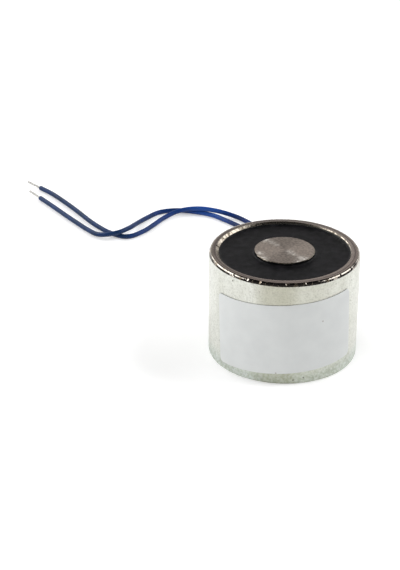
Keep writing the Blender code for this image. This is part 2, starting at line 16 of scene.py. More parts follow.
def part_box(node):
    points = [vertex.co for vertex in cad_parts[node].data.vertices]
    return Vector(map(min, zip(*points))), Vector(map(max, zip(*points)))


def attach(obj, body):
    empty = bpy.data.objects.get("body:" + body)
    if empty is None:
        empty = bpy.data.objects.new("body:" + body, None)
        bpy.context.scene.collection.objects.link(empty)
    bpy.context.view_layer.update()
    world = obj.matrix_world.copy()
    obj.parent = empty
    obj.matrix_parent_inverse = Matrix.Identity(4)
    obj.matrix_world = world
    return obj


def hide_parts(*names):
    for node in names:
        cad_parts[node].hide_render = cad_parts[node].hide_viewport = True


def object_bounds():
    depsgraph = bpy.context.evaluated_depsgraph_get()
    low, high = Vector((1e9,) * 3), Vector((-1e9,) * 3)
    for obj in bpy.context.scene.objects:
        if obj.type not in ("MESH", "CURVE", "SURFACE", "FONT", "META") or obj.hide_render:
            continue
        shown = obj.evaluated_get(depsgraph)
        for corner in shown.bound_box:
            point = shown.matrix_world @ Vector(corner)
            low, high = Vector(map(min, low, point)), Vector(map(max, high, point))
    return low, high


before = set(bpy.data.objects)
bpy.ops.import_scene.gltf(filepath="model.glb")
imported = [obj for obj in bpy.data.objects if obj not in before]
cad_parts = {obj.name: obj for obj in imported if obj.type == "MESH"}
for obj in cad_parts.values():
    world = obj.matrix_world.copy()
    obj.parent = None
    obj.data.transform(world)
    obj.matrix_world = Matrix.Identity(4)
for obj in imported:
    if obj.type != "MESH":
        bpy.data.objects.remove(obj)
cad_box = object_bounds()
scene = bpy.context.scene
scene.view_settings.view_transform = "Standard"

MM = 0.001

# Camera
# A long lens stands in front of the magnet and looks down at it, so the pole face shows as a flat
# oval and the leads run off behind it to the left.
CAMERA_PLACE = Vector((0.0, -301.05, 168.32)) * MM
CAMERA_PAN = radians(3.191)
CAMERA_TILT = radians(62.843)
CAMERA_ROLL = radians(0.199)
CAMERA_LENS = 106.546

bpy.ops.object.camera_add()
camera = bpy.context.object
camera.name = "camera"
camera.data.lens = CAMERA_LENS
camera.data.clip_start = 10 * MM
camera.matrix_world = (
    Matrix.Translation(CAMERA_PLACE)
    @ Matrix.Rotation(CAMERA_PAN, 4, "Z")
    @ Matrix.Rotation(CAMERA_TILT, 4, "X")
    @ Matrix.Rotation(CAMERA_ROLL, 4, "Z")
)
scene.camera = camera

# Leads
# Two limp stranded wires in blue PVC, 1.1 mm across. They leave the cup side by side through the
# sleeve at the back, lie down, make two turns in a tied coil and then run off, loosely twisted.
LEAD_DIAMETER = 1.1 * MM
LEAD_PITCH = 1.2 * MM
LEAD_STEPS = 6
LEAD_ROUNDING = 5
EXIT_LEVEL = 4.855 * MM

# How far behind the axis a lead starts in its sleeve, ends its straight stretch and comes free, and
# how far behind it the cup ends
LEAD_START = 14.37 * MM
EXIT_END = 15.7 * MM
BODY_BACK = 15.0 * MM

# The coil of both leads. Its angles are in degrees, and run on from the first turn into the second.
COIL_CENTRE = Vector((-6.1, 32.0, 0.0)) * MM
COIL_TURN_RADIUS = 6.1 * MM
COIL_STEP = 20
COIL_LAST_ANGLE = 738
TURN_RISE = 1.15 * MM
RISE_STARTS = (265, 625)
RISE_ANGLE = 60
TIE_ANGLE = 180
TIE_REACH = 50
TIE_LIFT = 0.25 * MM

# Points of a tube nearer than this become one, and its edges look round up to this angle
TUBE_MERGE = 0.001 * MM
TUBE_SMOOTH = radians(40)

# From the sleeve to the coil, in mm: distance behind the cup, and height
LEAD_A_TO_COIL = [(2.4, 4.5), (4.6, 3.0), (6.6, 1.5), (8.6, 0.7), (10.6, 0.55), (12.6, 0.55)]
LEAD_B_TO_COIL = [(2.3, 4.5), (4.3, 3.0), (6.2, 1.5), (8.0, 0.7), (9.6, 0.55), (11.2, 0.55)]

# From the coil to the free end, in mm: across, distance behind the cup, height
LEAD_A_TO_END = [
    (-1.1, 23.3, 2.75), (-2.3, 27.2, 1.80), (-3.4, 31.2, 0.85), (-4.7, 35.6, 0.55), (-6.4, 40.0, 0.55),
    (-8.9, 43.6, 0.55), (-12.3, 46.3, 0.81), (-16.6, 47.3, 1.56), (-21.0, 47.9, 1.71), (-25.4, 47.5, 1.11),
    (-28.7, 44.6, 0.56), (-30.8, 40.6, 0.55), (-33.1, 36.7, 0.55), (-36.4, 33.9, 0.55), (-40.4, 35.6, 0.55),
    (-43.6, 38.8, 0.55), (-46.4, 42.4, 0.55), (-48.9, 46.1, 0.55), (-51.5, 49.8, 0.55), (-54.2, 53.4, 0.55),
    (-57.0, 56.9, 0.55), (-60.2, 60.1, 0.55),
]
LEAD_B_TO_END = [
    (-2.9, 24.6, 2.75), (-4.1, 28.3, 1.80), (-5.2, 31.8, 0.85), (-6.5, 35.3, 0.55), (-8.4, 38.5, 0.55),
    (-10.9, 41.2, 0.55), (-14.1, 44.2, 0.55), (-17.5, 47.0, 0.55), (-21.6, 48.5, 0.55), (-25.9, 49.1, 0.55),
    (-29.9, 47.8, 0.55), (-32.7, 44.4, 0.55), (-34.7, 40.6, 0.84), (-36.2, 36.5, 1.50), (-38.9, 33.3, 1.66),
    (-42.8, 33.9, 0.85), (-45.9, 37.0, 0.55), (-48.7, 40.4, 0.55), (-51.4, 43.8, 0.55), (-54.0, 47.2, 0.55),
    (-56.7, 50.7, 0.55), (-59.4, 54.1, 0.55),
]


def smooth_line(points):
    """Points on one smooth curve through the points of a route."""
    headings = []
    for before, here, after in zip([points[0], *points], points, [*points[1:], points[-1]]):
        heading = (here - before).normalized() + (after - here).normalized()
        headings.append(heading.normalized())
    line = [points[0]]
    for i in range(len(points) - 1):
        reach = (points[i + 1] - points[i]).length / 3
        handle_out = points[i] + headings[i] * reach
        handle_in = points[i + 1] - headings[i + 1] * reach
        line += interpolate_bezier(points[i], handle_out, handle_in, points[i + 1], LEAD_STEPS + 1)[1:]
    return line


def ease(share):
    """Goes from 0 to 1 with the share, and starts and ends gently."""
    share = min(max(share, 0.0), 1.0)
    return share * share * (3 - 2 * share)


def coil_turns(radius):
    """The turns of one lead. It rises onto the turn before, and over the tie where that passes under."""
    turns = []
    for degrees in range(0, COIL_LAST_ANGLE + 1, COIL_STEP):
        level = LEAD_DIAMETER / 2
        level += sum(TURN_RISE * ease((degrees - start) / RISE_ANGLE) for start in RISE_STARTS)
        level += TIE_LIFT * ease(1 - abs(degrees % 360 - TIE_ANGLE) / TIE_REACH)
        angle = radians(degrees)
        turns.append(COIL_CENTRE + Vector((radius * cos(angle), radius * sin(angle), level)))
    return turns


def lead_route(offset, to_coil, to_end):
    """The whole way of a lead from inside its sleeve to its free end."""
    route = [Vector((offset, LEAD_START, EXIT_LEVEL)), Vector((offset, EXIT_END, EXIT_LEVEL))]
    route += [Vector((offset, BODY_BACK + behind * MM, level * MM)) for behind, level in to_coil]
    route += coil_turns(COIL_TURN_RADIUS + offset)
    for across, behind, level in to_end:
        route.append(Vector((across * MM, BODY_BACK + behind * MM, level * MM)))
    return smooth_line(route)


def select_only(piece):
    bpy.ops.object.select_all(action="DESELECT")
    piece.select_set(True)
    bpy.context.view_layer.objects.active = piece


def tube(name, lines, diameter, rounding):
    """One mesh of round tubes along the lines, with closed ends."""
    curve = bpy.data.curves.new(name, "CURVE")
    curve.dimensions = "3D"
    curve.bevel_depth = diameter / 2
    curve.bevel_resolution = rounding
    curve.use_fill_caps = True
    for line in lines:
        spline = curve.splines.new("POLY")
        spline.points.add(len(line) - 1)
        for slot, point in zip(spline.points, line):
            slot.co = (*point, 1.0)
    piece = bpy.data.objects.new(name, curve)
    scene.collection.objects.link(piece)
    select_only(piece)
    bpy.ops.object.convert(target="MESH")
    bpy.ops.object.mode_set(mode="EDIT")
    bpy.ops.mesh.select_all(action="SELECT")
    bpy.ops.mesh.remove_doubles(threshold=TUBE_MERGE)
    bpy.ops.object.mode_set(mode="OBJECT")
    bpy.ops.object.shade_smooth_by_angle(angle=TUBE_SMOOTH)
    return piece


def connect(made, inputs):
    """Gives each input of a node, by name or number, a value or the output of another node."""
    for key, value in dict(inputs).items():
        if isinstance(value, bpy.types.NodeSocket):
            made.id_data.links.new(value, made.inputs[key])
        else:
            made.inputs[key].default_value = value


def node(tree, kind, settings=(), inputs=()):
    """Adds a node with its settings and inputs."""
    made = tree.nodes.new("ShaderNode" + kind)
    for name, value in dict(settings).items():
        setattr(made, name, value)
    connect(made, inputs)
    return made


def new_material(name, roughness, metallic=0.0, specular=0.5):
    """A material with its shader's plain values, and the Object coordinates that its patterns read."""
    material = bpy.data.materials.new(name)
    material.use_nodes = True
    tree = material.node_tree
    shader = tree.nodes["Principled BSDF"]
    shader.inputs["Roughness"].default_value = roughness
    shader.inputs["Metallic"].default_value = metallic
    shader.inputs["Specular IOR Level"].default_value = specular
    place = node(tree, "TexCoord").outputs["Object"]
    return material, shader, place


def tree_of(*values):
    """The tree of the first node output among the values."""
    return next(value.id_data for value in values if isinstance(value, bpy.types.NodeSocket))


def math_node(operation, *values):
    return node(tree_of(*values), "Math", {"operation": operation}, enumerate(values)).outputs[0]


def vector_node(operation, *values):
    """The length, distance or product of vectors."""
    tree = tree_of(*values)
    return node(tree, "VectorMath", {"operation": operation}, enumerate(values)).outputs["Value"]


def scaled(place, scale):
    """Coordinates scaled along each axis: under 1 draws a pattern out, and 0 leaves that axis out."""
    return node(tree_of(place), "Mapping", {}, {"Vector": place, "Scale": scale}).outputs[0]


def axis_value(place, axis):
    return node(tree_of(place), "SeparateXYZ", {}, {0: place}).outputs[axis]


def map_range(value, low, high, low_result=0.0, high_result=1.0):
    """Goes from one result to the other as the value goes from low to high, and stays between them."""
    inputs = {"Value": value, "From Min": low, "From Max": high}
    inputs.update({"To Min": low_result, "To Max": high_result})
    return node(tree_of(value), "MapRange", {}, inputs).outputs["Result"]


def between(mask, at_none, at_full):
    """Turns a mask into values that go from one to the other as it goes from 0 to 1."""
    return map_range(mask, 0.0, 1.0, at_none, at_full)


# A Mix node's sockets for colours go by number, because those for numbers have the same names
MIX_SHARE, MIX_FIRST, MIX_SECOND, MIX_RESULT = 0, 6, 7, 2


def mix_colour(share, first, second, blend="MIX"):
    """The first colour turns into the second as the share goes from 0 to 1."""
    first, second = (
        colour if isinstance(colour, bpy.types.NodeSocket) else (*colour, 1.0) for colour in (first, second)
    )
    settings = {"data_type": "RGBA", "blend_type": blend}
    inputs = {MIX_SHARE: share, MIX_FIRST: first, MIX_SECOND: second}
    return node(tree_of(share), "Mix", settings, inputs).outputs[MIX_RESULT]


def tinted(share, colour, tint):
    """The colour, multiplied by the tint where the share is 1."""
    return mix_colour(share, colour, tint, blend="MULTIPLY")


def bump(height, strength, depth):
    inputs = {"Height": height, "Strength": strength, "Distance": depth}
    return node(tree_of(height), "Bump", {}, inputs).outputs["Normal"]


def new_mask_group(name, inputs):
    """A node group that puts out one mask: its tree, what comes in, and the node that it leaves by."""
    tree = bpy.data.node_groups.new(name, "ShaderNodeTree")
    for socket, kind in inputs.items():
        tree.interface.new_socket(socket, in_out="INPUT", socket_type="NodeSocket" + kind)
    tree.interface.new_socket("Mask", in_out="OUTPUT", socket_type="NodeSocketFloat")
    return tree, tree.nodes.new("NodeGroupInput").outputs, tree.nodes.new("NodeGroupOutput")


# Grain is a soft cloudy mask: the mottle, grind and unevenness of all finishes. The cloud is 0 below the
# low mark and 1 above the high one.
GRAIN_DETAIL = 3.0
grain, entry, leave = new_mask_group("grain", {
    "Vector": "Vector", "Size": "Float", "Low": "Float", "High": "Float",
})
per_metre = math_node("DIVIDE", 1.0, entry["Size"])
cloud = node(grain, "TexNoise", {}, {"Vector": entry["Vector"], "Scale": per_metre, "Detail": GRAIN_DETAIL})
connect(leave, {"Mask": map_range(cloud.outputs["Fac"], entry["Low"], entry["High"])})

# Specks are sparse round spots with soft edges: pits in plating, and dust on resin. Each spot's mask
# would rise past 1 in its middle, so that the middle is full.
SPOT_RISE = 1.6
specks, entry, leave = new_mask_group("specks", {
    "Vector": "Vector", "Spacing": "Float", "Radius": "Float", "Share": "Float",
})
per_metre = math_node("DIVIDE", 1.0, entry["Spacing"])
cells = node(specks, "TexVoronoi", {}, {"Vector": entry["Vector"], "Scale": per_metre}).outputs
reach = math_node("MULTIPLY", entry["Radius"], per_metre)
inside = map_range(cells["Distance"], reach, 0.0, 0.0, SPOT_RISE)
chance = node(specks, "SeparateColor", {}, {"Color": cells["Color"]}).outputs["Red"]
chosen = math_node("LESS_THAN", chance, entry["Share"])
connect(leave, {"Mask": math_node("MULTIPLY", inside, chosen)})


def grain_mask(place, size, low, high):
    inputs = {"Vector": place, "Size": size, "Low": low, "High": high}
    return node(tree_of(place), "Group", {"node_tree": grain}, inputs).outputs["Mask"]


def speck_mask(place, spacing, radius, share):
    inputs = {"Vector": place, "Spacing": spacing, "Radius": radius, "Share": share}
    return node(tree_of(place), "Group", {"node_tree": specks}, inputs).outputs["Mask"]


def blue_insulation():
    """Glossy extruded PVC, a little cloudy, with the faint ripple of the strands under it. It is greyer
    towards the free ends, with a painted highlight where the two leads cross and painted shade close
    behind the cup."""
    # The bright blue is a painted highlight where the two leads cross
    blue, deep_blue, painted_highlight_blue = (0.010, 0.042, 0.200), (0.009, 0.033, 0.115), (0.022, 0.085, 0.36)
    slate_tint, slate_from, slate_full = (0.98, 0.88, 0.66), -28 * MM, -42 * MM
    # The grey tint is painted shade close behind the cup
    cup_shade_tint, cup_shade_from, cup_shade_full = (0.62, 0.62, 0.66), -15 * MM, -11 * MM
    crossing, highlight_reach, highlight_full = -19 * MM, 6 * MM, 2 * MM
    material, shader, place = new_material("blue_insulation", 0.32, specular=0.2)
    cloudy = grain_mask(place, size=2.5 * MM, low=0.35, high=0.7)
    ripple = grain_mask(place, size=0.8 * MM, low=0.3, high=0.7)
    across = axis_value(place, "X")
    from_crossing = math_node("ABSOLUTE", math_node("SUBTRACT", across, crossing))
    bright = map_range(from_crossing, highlight_reach, highlight_full, 0.0, 0.75)
    colour = mix_colour(cloudy, blue, deep_blue)
    # Painted highlight where the two leads cross
    colour = mix_colour(bright, colour, painted_highlight_blue)
    colour = tinted(map_range(across, slate_from, slate_full), colour, slate_tint)
    # Painted shade close behind the cup
    colour = tinted(map_range(across, cup_shade_from, cup_shade_full), colour, cup_shade_tint)
    connect(shader, {
        "Base Color": colour,
        "Roughness": between(ripple, 0.26, 0.42),
        "Normal": bump(ripple, strength=0.25, depth=0.05 * MM),
    })
    return material


def tinned_strands():
    """Copper strands under a thin coat of solder, mottled where it ran."""
    bright, dull = (0.62, 0.61, 0.58), (0.40, 0.39, 0.37)
    material, shader, place = new_material("tinned_strands", 0.3, metallic=1.0)
    mottle = grain_mask(place, size=0.4 * MM, low=0.35, high=0.65)
    connect(shader, {
        "Base Color": mix_colour(mottle, bright, dull),
        "Roughness": between(mottle, 0.22, 0.5),
    })
    return material


lead_finish = blue_insulation()
tin_finish = tinned_strands()

# The free ends: the insulation is cut off and hollow round the conductor, which is six strands laid
# round a straight one and pressed together a little
CONDUCTOR_DIAMETER = 0.5 * MM
CONDUCTOR_PLAY = 0.02 * MM
STRIP_RECESS = 0.3 * MM
STRAND_INSET = 0.24 * MM
TINNED_LENGTH = 5.0 * MM
STRAND_COUNT = 6
STRAND_LAY = 6.0 * MM
STRAND_SPREAD = 0.96
STRAND_POINTS = 24
STRAND_ROUNDING = 3
CUT_REACH = 0.1 * MM

# A direction counts as parallel to another when its share along it is over this
PARALLEL = 0.99


def select_parts(piece, kind, test):
    """In edit mode, selects only the faces, or only the edges, that pass the test."""
    bpy.ops.mesh.select_mode(type=kind)
    bpy.ops.mesh.select_all(action="DESELECT")
    mesh = bmesh.from_edit_mesh(piece.data)
    for part in (mesh.faces if kind == "FACE" else mesh.edges):
        if test(part):
            part.select_set(True)
    bmesh.update_edit_mesh(piece.data)


def hollow_free_end(piece, end, heading):
    """Opens the cut end of the insulation round its conductor."""
    def cut_face(face):
        return face.normal.dot(heading) > PARALLEL and (face.calc_center_median() - end).length < CUT_REACH

    select_only(piece)
    bpy.ops.object.mode_set(mode="EDIT")
    select_parts(piece, "FACE", cut_face)
    bpy.ops.mesh.inset(thickness=(LEAD_DIAMETER - CONDUCTOR_DIAMETER) / 2 - CONDUCTOR_PLAY)
    bpy.ops.mesh.extrude_region_move(TRANSFORM_OT_translate={"value": -heading * STRIP_RECESS})
    bpy.ops.object.mode_set(mode="OBJECT")


def strands(name, end, heading):
    """The strands, from just inside the insulation to the tip."""
    across = heading.orthogonal().normalized()
    strand_diameter = CONDUCTOR_DIAMETER / 3
    foot = end - heading * STRAND_INSET
    length = TINNED_LENGTH + STRAND_INSET
    lines = [[foot, foot + heading * length]]
    for k in range(STRAND_COUNT):
        line = []
        for i in range(STRAND_POINTS + 1):
            along = length * i / STRAND_POINTS
            turn = Matrix.Rotation(2 * pi * (k / STRAND_COUNT + along / STRAND_LAY), 3, heading)
            line.append(foot + heading * along + turn @ across * strand_diameter * STRAND_SPREAD)
        lines.append(line)
    return tube(name, lines, strand_diameter, STRAND_ROUNDING)


for letter, offset, to_coil, to_end in (
    ("a", LEAD_PITCH / 2, LEAD_A_TO_COIL, LEAD_A_TO_END),
    ("b", -LEAD_PITCH / 2, LEAD_B_TO_COIL, LEAD_B_TO_END),
):
    line = lead_route(offset, to_coil, to_end)
    heading = (line[-1] - line[-2]).normalized()
    lead = tube(f"lead_{letter}", [line], LEAD_DIAMETER, LEAD_ROUNDING)
    hollow_free_end(lead, line[-1], heading)
    lead.data.materials.append(lead_finish)
    tip = strands(f"lead_{letter}_tinned_strands", line[-1], heading)
    tip.data.materials.append(tin_finish)
    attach(lead, "root")
    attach(tip, "root")
    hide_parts(f"lead_{letter}_to_coil", f"lead_{letter}_to_end")
    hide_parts(f"tinned_end_{letter}")
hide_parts("lead_coil")

# Tie on the coil
# A strip of black film goes once round all the turns where they lie side by side, and lies close to
# them with round corners.
TIE_THICKNESS = 0.25 * MM
TIE_CORNER = 0.5 * MM
TIE_SEGMENTS = 6
PIECE_SMOOTH = radians(35)


def new_piece(name):
    """Names the primitive just added, puts its place into its mesh and starts to edit it."""
    piece = bpy.context.object
    piece.name = name
    piece.data.name = name
    bpy.ops.object.transform_apply(location=True, rotation=True, scale=True)
    bpy.ops.object.mode_set(mode="EDIT")
    return piece


def apply_modifier(piece, name, kind, settings):
    """Leaves edit mode, adds a modifier with its settings and applies it."""
    bpy.ops.object.mode_set(mode="OBJECT")
    select_only(piece)
    modifier = piece.modifiers.new(name, kind)
    for key, value in settings.items():
        setattr(modifier, key, value)
    bpy.ops.object.modifier_apply(modifier=name)


def finish_piece(piece, material, node_name, smooth=PIECE_SMOOTH):
    """Smooths the round faces, keeps the flat ones flat, gives the finish and stands for the node."""
    bpy.ops.object.mode_set(mode="OBJECT")
    bpy.ops.object.shade_smooth_by_angle(angle=smooth)
    apply_modifier(piece, "Flat faces", "WEIGHTED_NORMAL", {"keep_sharp": True, "weight": 100})
    piece.data.materials.append(material)
    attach(piece, "root")
    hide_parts(node_name)


def black_film():
    """Soft matt PVC film with fine creases."""
    black, worn = (0.014, 0.014, 0.015), (0.045, 0.045, 0.047)
    material, shader, place = new_material("black_film", 0.45, specular=0.3)
    crease = grain_mask(place, size=0.7 * MM, low=0.45, high=0.75)
    connect(shader, {
        "Base Color": mix_colour(crease, black, worn),
        "Roughness": between(crease, 0.4, 0.6),
        "Normal": bump(crease, strength=0.3, depth=0.05 * MM),
    })
    return material


def bevel_edges(piece, test, offset, segments=1, profile=0.5):
    """Cuts the edges that pass the test flat, or round if there are more segments."""
    select_parts(piece, "EDGE", test)
    bpy.ops.mesh.bevel(offset=offset, segments=segments, profile=profile, affect="EDGES")


def edge_along_band(edge):
    return abs((edge.verts[0].co - edge.verts[1].co).normalized().y) > PARALLEL


def end_face(face):
    return abs(face.normal.y) > PARALLEL


tie_low, tie_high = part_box("lead_tie")
bpy.ops.object.select_all(action="DESELECT")
bpy.ops.mesh.primitive_cube_add(size=1.0, location=(tie_low + tie_high) / 2, scale=tie_high - tie_low)
tie = new_piece("tie_band")
bevel_edges(tie, edge_along_band, TIE_CORNER, segments=TIE_SEGMENTS)
select_parts(tie, "FACE", end_face)
bpy.ops.mesh.delete(type="FACE")
apply_modifier(tie, "Wall", "SOLIDIFY", {"thickness": TIE_THICKNESS, "offset": -1.0})
finish_piece(tie, black_film(), "lead_tie")

# Cup
# The shell is one turned steel cup, nickel plated, 30 mm across. Its rim is ground flat as the outer
# pole and has a rounded outer edge and a chamfered mouth. Its base is countersunk for the core.
FIT = 0.05 * MM
cup_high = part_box("shell")[1]
resin_low, resin_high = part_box("casting_resin")
CUP_RADIUS = cup_high.x
CUP_HEIGHT = cup_high.z
BORE_RADIUS = resin_high.x + FIT
BASE_THICKNESS = 3.0 * MM
RIM_CHAMFER = 0.3 * MM
CHAMFER_DRIFT = 0.18 * MM
BACK_CHAMFER = 0.4 * MM
FLOOR_FILLET = 0.25 * MM
SPIGOT_HOLE_RADIUS = 4.05 * MM
SWAGE_DEPTH = 0.6 * MM
EXIT_HOLE_RADIUS = 1.62 * MM
EXIT_SEGMENTS = 64
CUP_SEGMENTS = 384
CUP_SMOOTH = radians(8)
WAVE_SIZE = 0.9 * MM
WAVE_DEPTH = 0.02 * MM
WAVE_MIDDLE = 0.35

# Places nearer to each other than this count as the same
NEAR = 0.02 * MM

# The outer edge of the rim from the wall up, in mm: how far each step rises, and how far it goes in
RIM_STEPS = [(0.36, 0.175), (0.10, 0.085), (0.08, 0.095), (0.06, 0.22)]
RIM_ROUNDING = sum(rise for rise, inward in RIM_STEPS) * MM

# Each nick in the edge: its angle from the front, the side to which its slanted floor faces, and in mm
# its width, its distance from the axis and its level
NICKS = [
    (-28, -45, 0.45, 14.72, 21.74), (-18, -45, 0.6, 14.72, 21.72), (2, 40, 0.3, 14.66, 21.80),
    (17, 45, 0.3, 14.66, 21.82), (-41, 10, 0.4, 14.76, 21.70), (-96, 0, 0.55, 13.50, 21.90),
    (48, 0, 0.4, 14.74, 21.72), (62, 20, 0.5, 14.74, 21.74), (34, 80, 0.4, 14.74, 21.72),
    (133, 150, 0.4, 14.74, 21.74),
]


def ring_at(radius, level):
    """A test for the edges that go round the axis at that radius and level."""
    def test(edge):
        return all(
            abs(v.co.xy.length - radius) < NEAR and abs(v.co.z - level) < NEAR for v in edge.verts
        )
    return test


def flat_at(level, inside):
    """A test for the flat faces at that level that lie within that radius."""
    def test(face):
        corner = face.verts[0].co
        return abs(face.normal.z) > PARALLEL and abs(corner.z - level) < NEAR and corner.xy.length < inside
    return test


def new_cylinder(name, segments, radius, low, high):
    """Adds an upright cylinder on the axis, between two levels, and starts to edit it."""
    bpy.ops.object.select_all(action="DESELECT")
    bpy.ops.mesh.primitive_cylinder_add(
        vertices=segments, radius=radius, depth=high - low, location=(0, 0, (low + high) / 2)
    )
    return new_piece(name)


def extrude(rise=0.0):
    """Extrudes what is selected, and raises it."""
    bpy.ops.mesh.extrude_region_move(TRANSFORM_OT_translate={"value": (0, 0, rise)})


def widen(times):
    """Makes what is selected that many times as wide, or narrower if that is under 1."""
    bpy.ops.transform.resize(value=(times, times, 1))


def open_hole(piece, segments):
    """Opens a round hole between the two faces that have that many corners."""
    select_parts(piece, "FACE", lambda face: len(face.verts) == segments)
    bpy.ops.mesh.bridge_edge_loops()


# The wall goes up, the rim's outer edge follows in its steps, and the bore is sunk down to the base
cup = new_cylinder("cup", CUP_SEGMENTS, CUP_RADIUS, 0.0, CUP_HEIGHT - RIM_ROUNDING)
select_parts(cup, "FACE", flat_at(CUP_HEIGHT - RIM_ROUNDING, 2 * CUP_RADIUS))
edge_radius = CUP_RADIUS
for rise, inward in RIM_STEPS:
    extrude(rise * MM)
    widen((edge_radius - inward * MM) / edge_radius)
    edge_radius -= inward * MM
bpy.ops.mesh.inset(thickness=edge_radius - BORE_RADIUS)
extrude(BASE_THICKNESS - CUP_HEIGHT)

# The core's hole goes through the base, and is countersunk from the back
bpy.ops.mesh.inset(thickness=BORE_RADIUS - SPIGOT_HOLE_RADIUS)
select_parts(cup, "FACE", flat_at(0.0, 2 * CUP_RADIUS))
bpy.ops.mesh.inset(thickness=CUP_RADIUS - SPIGOT_HOLE_RADIUS - SWAGE_DEPTH)
bpy.ops.mesh.inset(thickness=SWAGE_DEPTH, depth=-SWAGE_DEPTH)
open_hole(cup, CUP_SEGMENTS)

# The chamfer in the mouth was cut a little askew, so it is wider at one side
bevel_edges(cup, ring_at(BORE_RADIUS, CUP_HEIGHT), RIM_CHAMFER)
select_parts(cup, "EDGE", ring_at(BORE_RADIUS + RIM_CHAMFER, CUP_HEIGHT))
bpy.ops.transform.translate(value=(-CHAMFER_DRIFT, 0, 0))
select_parts(cup, "EDGE", ring_at(BORE_RADIUS, CUP_HEIGHT - RIM_CHAMFER))
bpy.ops.transform.rotate(
    value=CHAMFER_DRIFT / BORE_RADIUS, orient_axis="Y", center_override=(0, 0, CUP_HEIGHT - RIM_CHAMFER)
)

# The edge at the back is broken, and the corner inside at the base is round
bevel_edges(cup, ring_at(CUP_RADIUS, 0.0), BACK_CHAMFER, segments=2, profile=0.55)
bevel_edges(cup, ring_at(BORE_RADIUS, BASE_THICKNESS), FLOOR_FILLET, segments=3)
bpy.ops.object.mode_set(mode="OBJECT")

# The wall is drilled for the leads, and handling has nicked the rim
bpy.ops.object.select_all(action="DESELECT")
bpy.ops.mesh.primitive_cylinder_add(
    vertices=EXIT_SEGMENTS, radius=EXIT_HOLE_RADIUS, depth=4 * (CUP_RADIUS - BORE_RADIUS),
    location=(0, (CUP_RADIUS + BORE_RADIUS) / 2, EXIT_LEVEL), rotation=(pi / 2, 0, 0),
)
cutters = [bpy.context.object]
for angle, side, width, radius, level in NICKS:
    place = Vector((radius * sin(radians(angle)), -radius * cos(radians(angle)), level)) * MM
    slant = Vector((sin(radians(side)), -cos(radians(side)), 1.0)).normalized()
    bpy.ops.mesh.primitive_cube_add(
        size=width * MM, location=place + slant * width / 2 * MM,
        rotation=slant.to_track_quat("Z", "Y").to_euler(),
    )
    cutters.append(bpy.context.object)
for cutter in cutters:
    cutter.select_set(True)
bpy.ops.object.join()
cutter = bpy.context.object
cutting = {"operation": "DIFFERENCE", "solver": "EXACT", "object": cutter}
apply_modifier(cup, "Exit and nicks", "BOOLEAN", cutting)
bpy.data.objects.remove(cutter)


def make_uneven(piece, name, test, size, settings):
    """Moves the vertices that pass the test by a soft cloud pattern."""
    group = piece.vertex_groups.new(name=name)
    group.add([v.index for v in piece.data.vertices if test(v.co)], 1.0, "REPLACE")
    pattern = bpy.data.textures.new(name, "CLOUDS")
    pattern.noise_scale = size
    pattern.noise_depth = 2
    shared = {"texture": pattern, "texture_coords": "LOCAL", "vertex_group": group.name}
    apply_modifier(piece, name, "DISPLACE", {**shared, **settings})


def in_rounded_edge(point):
    above = point.z > CUP_HEIGHT - RIM_ROUNDING + NEAR
    return above and point.xy.length > CUP_RADIUS - RIM_ROUNDING + NEAR


make_uneven(cup, "rim_waves", in_rounded_edge, WAVE_SIZE, {
    "strength": -WAVE_DEPTH, "mid_level": WAVE_MIDDLE,
})

# Warm darker bands down the front of the wall, partly worn stain and partly a painted dark reflection:
# angle from the front, in mm the distances from there at which the band starts and is full, and its share
STAIN_AND_REFLECTION_BANDS = [(16, 13, 2, 0.45), (-5, 5, 2, 0.6)]

# The deepest pits in the plating: angle from the front, and level in mm
WORST_PITS = [(-10, 16.9), (17, 1.3), (-41, 20.6), (9, 0.9)]

# Black stretches of the rim's edge, a painted dark reflection: angle from the front, level in mm, and
# reach along the edge in mm. Across the edge they are narrower.
DARK_REFLECTION_STRETCHES = [(-78, 21.5, 2.0), (-71, 21.5, 2.0), (69, 21.8, 1.9)]
REFLECTION_NARROWER = 6.0

# The scale that leaves the height out of coordinates
FLAT = (1.0, 1.0, 0.0)


def on_wall(angle, level):
    """The point of the cup's wall at that angle from the front, in degrees, and that level in mm."""
    return Vector((CUP_RADIUS * sin(radians(angle)), -CUP_RADIUS * cos(radians(angle)), level * MM))


def wall_spots(place, spots, radius):
    """One mask with a soft round spot at each angle and level on the wall."""
    mask = 0.0
    for angle, level in spots:
        away = vector_node("DISTANCE", place, on_wall(angle, level))
        mask = math_node("MAXIMUM", mask, map_range(away, radius, 0.0, 0.0, SPOT_RISE))
    return mask


